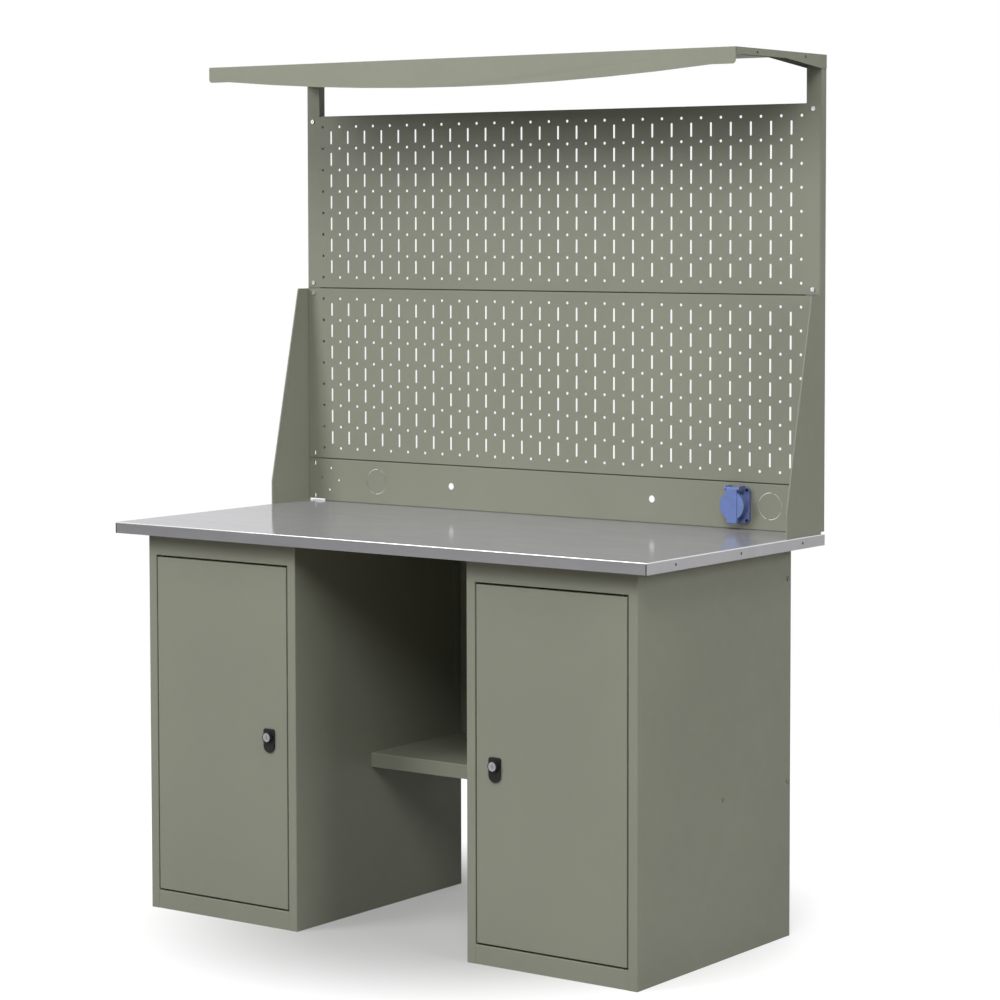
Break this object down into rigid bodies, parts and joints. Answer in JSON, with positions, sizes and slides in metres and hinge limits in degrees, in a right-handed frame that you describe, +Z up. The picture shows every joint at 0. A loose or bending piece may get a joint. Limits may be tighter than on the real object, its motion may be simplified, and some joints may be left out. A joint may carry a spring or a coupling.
{
  "type": "workbench with pegboard",
  "caption": "Sheet steel workbench: two lockable cupboards, a steel-covered counter with knee space, and a perforated tool screen with a blue socket and a canopy.",
  "frame": {"origin": "on the floor under the middle of the counter", "axes": "+Z up, the front of the bench faces -Y, +X to the right of a person at the bench"},
  "size_m": [1.398, 0.671, 1.8525],
  "materials": {
    "painted_steel": "satin powder coat",
    "counter_steel": "satin galvanised",
    "core_board": "raw chipboard",
    "zinc_steel": "zinc plated",
    "dark_screw": "black oxide",
    "black_plastic": "moulded",
    "key_chrome": "polished",
    "socket_blue": "moulded satin",
    "lid_blue": "moulded satin",
    "insert_plastic": "moulded",
    "bush_nylon": "nylon"
  },
  "bodies": {
    "bench": {"left_outer_side": "painted_steel", "left_inner_side": "painted_steel", "left_back": "painted_steel", "left_top_panel": "painted_steel", "left_floor_panel": "painted_steel", "left_shelf": "painted_steel", "left_shelf_brackets": "painted_steel", "left_hinge_pins": "zinc_steel", "left_upright": "painted_steel", "left_cheek": "painted_steel", "left_canopy_arm": "painted_steel", "right_outer_side": "painted_steel", "right_inner_side": "painted_steel", "right_back": "painted_steel", "right_top_panel": "painted_steel", "right_floor_panel": "painted_steel", "right_shelf": "painted_steel", "right_shelf_brackets": "painted_steel", "right_hinge_pins": "zinc_steel", "right_upright": "painted_steel", "right_cheek": "painted_steel", "right_canopy_arm": "painted_steel", "knee_shelf": "painted_steel", "knee_back_panel": "painted_steel", "knee_bolts": "zinc_steel", "outer_side_bolts": "zinc_steel", "counter_core": "core_board", "counter_cover": "counter_steel", "counter_edge_screws": "dark_screw", "counter_fixing_screws": "zinc_steel", "upper_pegboard": "painted_steel", "lower_pegboard": "painted_steel", "socket_panel": "painted_steel", "panel_screws": "dark_screw", "seam_bolts": "zinc_steel", "socket_panel_screws": "zinc_steel", "canopy_sheet": "painted_steel", "canopy_screws": "dark_screw", "arm_bolts": "zinc_steel", "hex_nuts": "zinc_steel", "socket_housing": "socket_blue", "socket_insert": "insert_plastic", "socket_screws": "zinc_steel", "socket_lid_pin": "zinc_steel"},
    "left_door": {"left_door": "painted_steel", "left_door_liner": "painted_steel", "left_hinge_bushes": "bush_nylon", "left_lock_housing": "black_plastic", "left_lock_nut": "zinc_steel"},
    "left_lock": {"left_lock_cylinder": "key_chrome", "left_lock_cam": "zinc_steel"},
    "right_door": {"right_door": "painted_steel", "right_door_liner": "painted_steel", "right_hinge_bushes": "bush_nylon", "right_lock_housing": "black_plastic", "right_lock_nut": "zinc_steel"},
    "right_lock": {"right_lock_cylinder": "key_chrome", "right_lock_cam": "zinc_steel"},
    "socket_lid": {"socket_lid": "lid_blue"}
  },
  "joints": [
    {"name": "left_door_hinge", "type": "hinge", "parent": "bench", "child": "left_door", "pos_m": [-0.608, -0.2795, 0.41], "axis": [0, 0, -1], "range_deg": [0, 110]},
    {"name": "left_lock_turn", "type": "hinge", "parent": "left_door", "child": "left_lock", "pos_m": [-0.2995, -0.28, 0.411], "axis": [0, -1, 0], "range_deg": [0, 90]},
    {"name": "right_door_hinge", "type": "hinge", "parent": "bench", "child": "right_door", "pos_m": [0.608, -0.2795, 0.41], "axis": [0, 0, 1], "range_deg": [0, 110]},
    {"name": "right_lock_turn", "type": "hinge", "parent": "right_door", "child": "right_lock", "pos_m": [0.2995, -0.28, 0.411], "axis": [0, 1, 0], "range_deg": [0, 90]},
    {"name": "socket_lid_hinge", "type": "hinge", "parent": "bench", "child": "socket_lid", "pos_m": [0.4985, 0.29, 0.9405], "axis": [-1, 0, 0], "range_deg": [0, 110], "stiffness_Nm_per_rad": 0.02, "springref_deg": -17.19}
  ]
}
